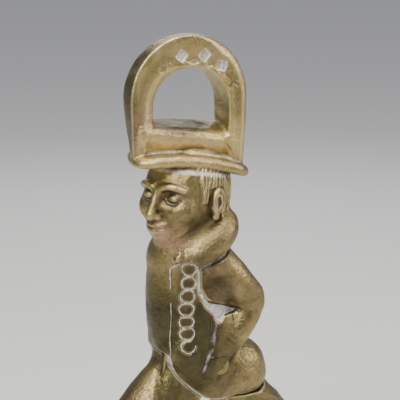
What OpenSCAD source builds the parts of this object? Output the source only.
// Figural lever nutcracker, all brass: a coachman under a horseshoe loop, whose two bowed legs are the levers.
// The figure faces -X, its near (left) side faces -Y, the soles stand on Z = 0. Lengths in millimetres.

/* [Sizes] */
// Overall height, sole to top of the horseshoe
total_h = 193; // [190:1:196]
// Outer width of the horseshoe
shoe_w = 41.4; // [40:0.2:43]
// Width of the finger hole in the horseshoe
hole_w = 28; // [26:0.5:29]
// Thickness of the horseshoe bar, front face to back face
shoe_t = 12; // [11:0.5:13]
// Width of the torso across the shoulders of the casting
torso_t = 24; // [23.5:0.5:25]

/* [Hinge] */
// Diameter of the hinge pin
pin_d = 6; // [5:0.5:6.5]
// Running clearance between the pin and the moving bore, on the diameter
run_fit = 0.12; // [0.08:0.02:0.18]
// Diameter of the lock rivet
rivet_d = 4; // [3.5:0.5:4]
// Thickness of each tongue
tongue_t = 5; // [4.6:0.2:5]
// Thickness of one washer
washer_t = 1; // [1]

/* [Details] */
// Number of coat buttons
buttons = 7; // [5:1:7]
// Smoothness of round shapes
smooth = 32; // [28:4:36]

/* [Hidden] */
$fn = smooth;
ax = 2; // pivot
az = 84;
rx = -10.2; // lock rivet
rz = 88.6;
x_mid = 1.45; // moves the whole part so that its box is centred on X
slot_n = -6; // near wall of the slot
slot_f = slot_n + tongue_t + 2 * washer_t + tongue_t + 0.1; // far wall of the slot
rear_y = slot_n + tongue_t + washer_t + 0.05; // near face of the moving tongue
sx = -5.8; // middle of the horseshoe
sz = total_h - shoe_w / 2;
hz = 170; // middle of the rounded top of the hole

// Outline of the coat above its hem, seen from the side; g lowers the hem.
module coat_outline(g = 0) {
    polygon([
        [-40, 210], [-40, 97], [-20, 95 - g], [-15.6 - g, 88 - g], [-14.3 - g, 84.4 - g],
        [-12.4 - g, 81.4 - g], [-9.8 - g * 0.8, 78.7 - g], [-6.8, 75.8 - g], [-4, 73.7 - g],
        [-1, 72.4 - g], [2.5, 72 - g], [6, 72.1 - g], [10, 72.5 - g], [14, 72.3 - g],
        [19.4 + g * 0.5, 72.6 - g], [23.2 + g, 77 - g], [26, 90], [40, 97], [40, 210]
    ]);
}

// Extrudes a side outline (x, z) along Y between y0 and y1.
module side(y0, y1) {
    translate([0, y1, 0]) rotate([90, 0, 0]) linear_extrude(height = y1 - y0) children();
}

// A round bar between two points of the middle plane, with a ball at its start.
module bar(a, ra, b, rb, y = 0) {
    translate([a[0], y, a[1]]) sphere(r = ra);
    translate([a[0], y, a[1]])
        rotate([0, atan2(b[0] - a[0], b[1] - a[1]), 0])
            cylinder(h = norm([b[0] - a[0], b[1] - a[1]]), r1 = ra * 0.97, r2 = rb * 0.97);
}

module chain(p) {
    for (i = [0 : len(p) - 2])
        bar([p[i][0], p[i][1]], p[i][2], [p[i + 1][0], p[i + 1][1]], p[i + 1][2]);
}

// A bar between two points in space with a ball at each end.
module limb(a, ra, b, rb) {
    d = b - a;
    translate(a) sphere(r = ra);
    translate(b) sphere(r = rb);
    translate(a)
        rotate([0, acos(d[2] / norm(d)), atan2(d[1], d[0])])
            cylinder(h = norm(d), r1 = ra * 0.97, r2 = rb * 0.97);
}

// Upright slab with two rounded ends, standing at z.
module slab(x0, x1, r, z, h) {
    translate([0, 0, z]) linear_extrude(height = h) {
        translate([x0 + r, 0]) circle(r = r);
        translate([x1 - r, 0]) circle(r = r);
        translate([x0 + r, -r]) square([x1 - x0 - 2 * r, 2 * r]);
    }
}

module y_cyl(x, z, d, y0, y1) {
    translate([x, y1, z]) rotate([90, 0, 0]) cylinder(h = y1 - y0, d = d);
}

module boot(x, toe) {
    difference() {
        union() {
            // sole and heel
            slab(x + toe, x + 6.2, 8.6, 0, 2.4);
            slab(x - 7, x + 5.4, 6.4, 1, 7);
            limb([x + toe + 8.7, 0, 2.1], 7.3, [x, 0, 8], 6.2);
        }
        translate([x + toe - 10, -20, -20]) cube([60, 40, 20]);
    }
    // top band of the boot
    translate([x, 0, 13]) rotate_extrude() translate([4.8, 0]) circle(r = 1.8);
}

// Ribs across the inner side of a thigh, on the stretch between the points a and b of its middle line.
module jaw_ribs(a, b, s) {
    d = [b[0] - a[0], b[1] - a[1]] / norm([b[0] - a[0], b[1] - a[1]]);
    for (t = [0.1, 0.36, 0.62, 0.88])
        translate([
            a[0] + (b[0] - a[0]) * t + s * abs(d[1]) * (a[2] + (b[2] - a[2]) * t - 0.3),
            -5,
            a[1] + (b[1] - a[1]) * t - abs(d[0]) * (a[2] + (b[2] - a[2]) * t - 0.3)
        ])
            rotate([-90, 0, 0]) cylinder(h = 10, d = 2.4, $fn = 20);
}

module torso() {
    intersection() {
        union() {
            slab(-17, 10.5, 12, 70, 42);
            limb([-5.3, 0, 111.4], 11.8, [-1.4, 0, 111.8], 11.6);
            // seat and coat-tails
            limb([11.2, 0, 81], 11.4, [7, 0, 90.4], 10.8);
        }
        side(-14, 14) coat_outline();
    }
}

module arm(s) {
    $fn = 26;
    limb([5.4, s * 8.4, 117.2], 5.5, [13.4, s * 8.8, 105.4], 5.1);
    limb([13.4, s * 8.8, 105.4], 5.1, [1, s * 10, 91.5], 3.6);
}

module head() {
    limb([-7, -1, 140.6], 11.6, [-1, 0.6, 141.4], 12.2);
    limb([-12.4, -3.4, 131.6], 5.6, [-9, -1.6, 139], 9.4);
    translate([-3, 0, 119]) cylinder(h = 14, r = 8.6);
    // nose and ear, plain
    limb([-17.9, -6.2, 137.4], 1.9, [-16.4, -5.6, 142.6], 1.4);
    translate([0.6, -11.6, 137.5]) rotate([0, 90, 90]) cylinder(h = 4, r1 = 3.6, r2 = 3, center = true, $fn = 20);
    translate([0.6, 11.6, 137.5]) rotate([0, 90, 90]) cylinder(h = 4, r1 = 3.6, r2 = 3, center = true, $fn = 20);
}

module scarf() {
    $fn = 28;
    translate([-1.6, 0, 126.6]) rotate([0, -27, 0])
        rotate_extrude() translate([9.8, 0]) circle(r = 3.9);
    limb([-12, -6, 120.5], 3.2, [-12.6, -8.6, 116.6], 2.2);
}

module hat() {
    // the brim droops towards the back
    translate([sx, 0, 150.2]) rotate([0, 8.5, 0]) translate([0, 0, -153.8]) {
        slab(-18.4, 18.4, 9.2, 151.2, 5.2);
        for (s = [-1, 1]) {
            translate([s * 9.2, 0, 153.8]) rotate([0, 0, s * 90 + 180])
                rotate_extrude(angle = 180) translate([9.2, 0]) circle(r = 2.6);
            translate([-9.2, s * 9.2, 153.8]) rotate([0, 90, 0]) cylinder(h = 18.4, r = 2.6);
        }
        slab(-19.2, 19.2, 10.2, 155.2, 2.8);
        slab(-17, 17, 9.4, 156, 10);
    }
    translate([sx, 0, 163]) rotate([0, 6, 0]) slab(-15.6, 15.6, 7.2, -4, 5);
}

module horseshoe() {
    difference() {
        union() {
            side(-shoe_t / 2, shoe_t / 2) {
                translate([sx, sz]) circle(r = shoe_w / 2);
                polygon([
                    [sx - shoe_w / 2, sz], [sx + shoe_w / 2, sz],
                    [sx + shoe_w / 2 - 1.6, 151], [sx - shoe_w / 2 + 1.6, 156]
                ]);
            }
        }
        side(-20, 20) {
            translate([sx, hz]) circle(r = hole_w / 2);
            polygon([
                [sx - hole_w / 2, hz], [sx + hole_w / 2, hz],
                [sx + hole_w / 2 - 0.6, 160], [sx - hole_w / 2 + 0.6, 162]
            ]);
        }
        // bevels round the outer edge
        for (s = [-1, 1])
            translate([sx, s * (shoe_t / 2), sz]) rotate([90, 0, 0])
                rotate_extrude() translate([shoe_w / 2 + 0.3, 0]) rotate(45) square(2.6, center = true);
        // nail pits
        for (a = [-64, -28, -4, 24, 48])
            for (s = [-1, 1])
                translate([sx, 0, sz]) rotate([0, a, 0]) translate([0, s * shoe_t / 2, 17.2])
                    rotate([90, 45, 0]) cube([2.4, 2.4, 1.6], center = true);
    }
}

module buttons_column() {
    for (i = [0 : buttons - 1])
        translate([-9.6 - 0.06 * i, -10.2, 117 - i * 4.22]) rotate([90, 0, -26])
            cylinder(h = 2, r1 = 2.4, r2 = 1.9, $fn = 20);
}

module figure_body() {
    color([0.66, 0.53, 0.26])
    difference() {
        union() {
            torso();
            arm(-1);
            arm(1);
            head();
            scarf();
            hat();
            horseshoe();
            buttons_column();
        }
        // slot for the two tongues
        y_cyl(ax, az, 2 * 10.2, slot_n, slot_f);
        side(slot_n, slot_f) polygon([
            [ax - 9, az - 4.8], [ax - 30, az - 4.8], [ax - 30, 60], [21.4, 60],
            [21.1, 66.5], [18.15, 73.4], [ax + 9.62, az - 3.4], [ax, az]
        ]);
        side(slot_n, 0) polygon([[ax, az], [ax - 6, az + 8], [rx, rz + 5.05], [rx - 5.05, rz], [-18, 76], [0, 70]]);
        y_cyl(rx, rz, 10.1, slot_n, 0);
        // bores
        y_cyl(ax, az, pin_d, -20, 20);
        y_cyl(rx, rz, rivet_d, -20, 20);
        // incised front line of the coat
        translate([-14.2, -9.2, 88]) rotate([0, 0, 45]) cube([1.2, 0.7, 30]);
    }
}

module front_leg() {
    color([0.62, 0.50, 0.25])
    difference() {
        union() {
            difference() {
                union() {
                    chain([[-10, 79.5, 9.2], [-20, 68, 10], [-29, 56, 9.5], [-34, 45, 8.3],
                        [-33, 36, 7.4], [-29.5, 24, 7.2], [-26.5, 12, 5]]);
                    boot(-26.5, -20);
                    jaw_ribs([-20, 68, 10], [-29, 56, 9.5], 1);
                    jaw_ribs([-29, 56, 9.5], [-34, 45, 8.3], 1);
                }
                side(-20, 20) coat_outline(0.04);
                side(-20, 20) polygon([[-4.6, 90], [-6.2, 73], [-8.4, 60], [20, 60], [20, 90]]);
            }
            // tongue
            side(slot_n, slot_n + tongue_t) {
                translate([ax, az]) circle(r = 9);
                translate([rx, rz]) circle(r = 5);
                polygon([[ax, az], [ax - 5.4, az + 7.2], [rx, rz + 5], [rx - 5, rz], [-16.5, 80],
                    [-18, 72], [-9, 66], [-3.6, 76.9]]);
            }
        }
        y_cyl(ax, az, pin_d, -20, 20);
        y_cyl(rx, rz, rivet_d, -20, 20);
    }
}

module rear_leg() {
    color([0.70, 0.56, 0.28])
    difference() {
        union() {
            difference() {
                union() {
                    chain([[9, 76, 9.2], [17.2, 65, 9.9], [26.8, 54.4, 9.4], [34, 44.4, 8.3],
                        [36, 36, 7.4], [36.2, 24, 7.2], [37, 12, 5]]);
                    boot(37, -20);
                    jaw_ribs([17.2, 65, 9.9], [26.8, 54.4, 9.4], -1);
                    jaw_ribs([26.8, 54.4, 9.4], [34, 44.4, 8.3], -1);
                }
                side(-20, 20) coat_outline(0.4);
                side(-20, 20) polygon([[4.6, 90], [4.6, 74], [8, 60], [-20, 60], [-20, 90]]);
            }
            // tongue
            side(rear_y, rear_y + tongue_t) {
                translate([ax, az]) circle(r = 9);
                polygon([[ax, az], [ax + 9.2, az - 3.6], [17.6, 73], [20, 67], [12, 62], [ax + 0.5, az - 8.98]]);
            }
        }
        y_cyl(ax, az, pin_d + run_fit, -20, 20);
    }
}

module hinge_pin() {
    color([0.74, 0.60, 0.32])
    y_cyl(ax, az, pin_d, -12, 12);
}

module lock_rivet() {
    color([0.74, 0.60, 0.32])
    y_cyl(rx, rz, rivet_d, -11.4, 11.4);
}

module hinge_washers() {
    color([0.72, 0.58, 0.30])
    for (y = [slot_n + tongue_t, slot_f - washer_t])
        difference() {
            y_cyl(ax, az, 16, y, y + washer_t);
            y_cyl(ax, az, pin_d, y - 1, y + 2);
        }
}

translate([x_mid, 0, 0]) {
    figure_body();
    front_leg();
    rear_leg();
    hinge_pin();
    lock_rivet();
    hinge_washers();
}
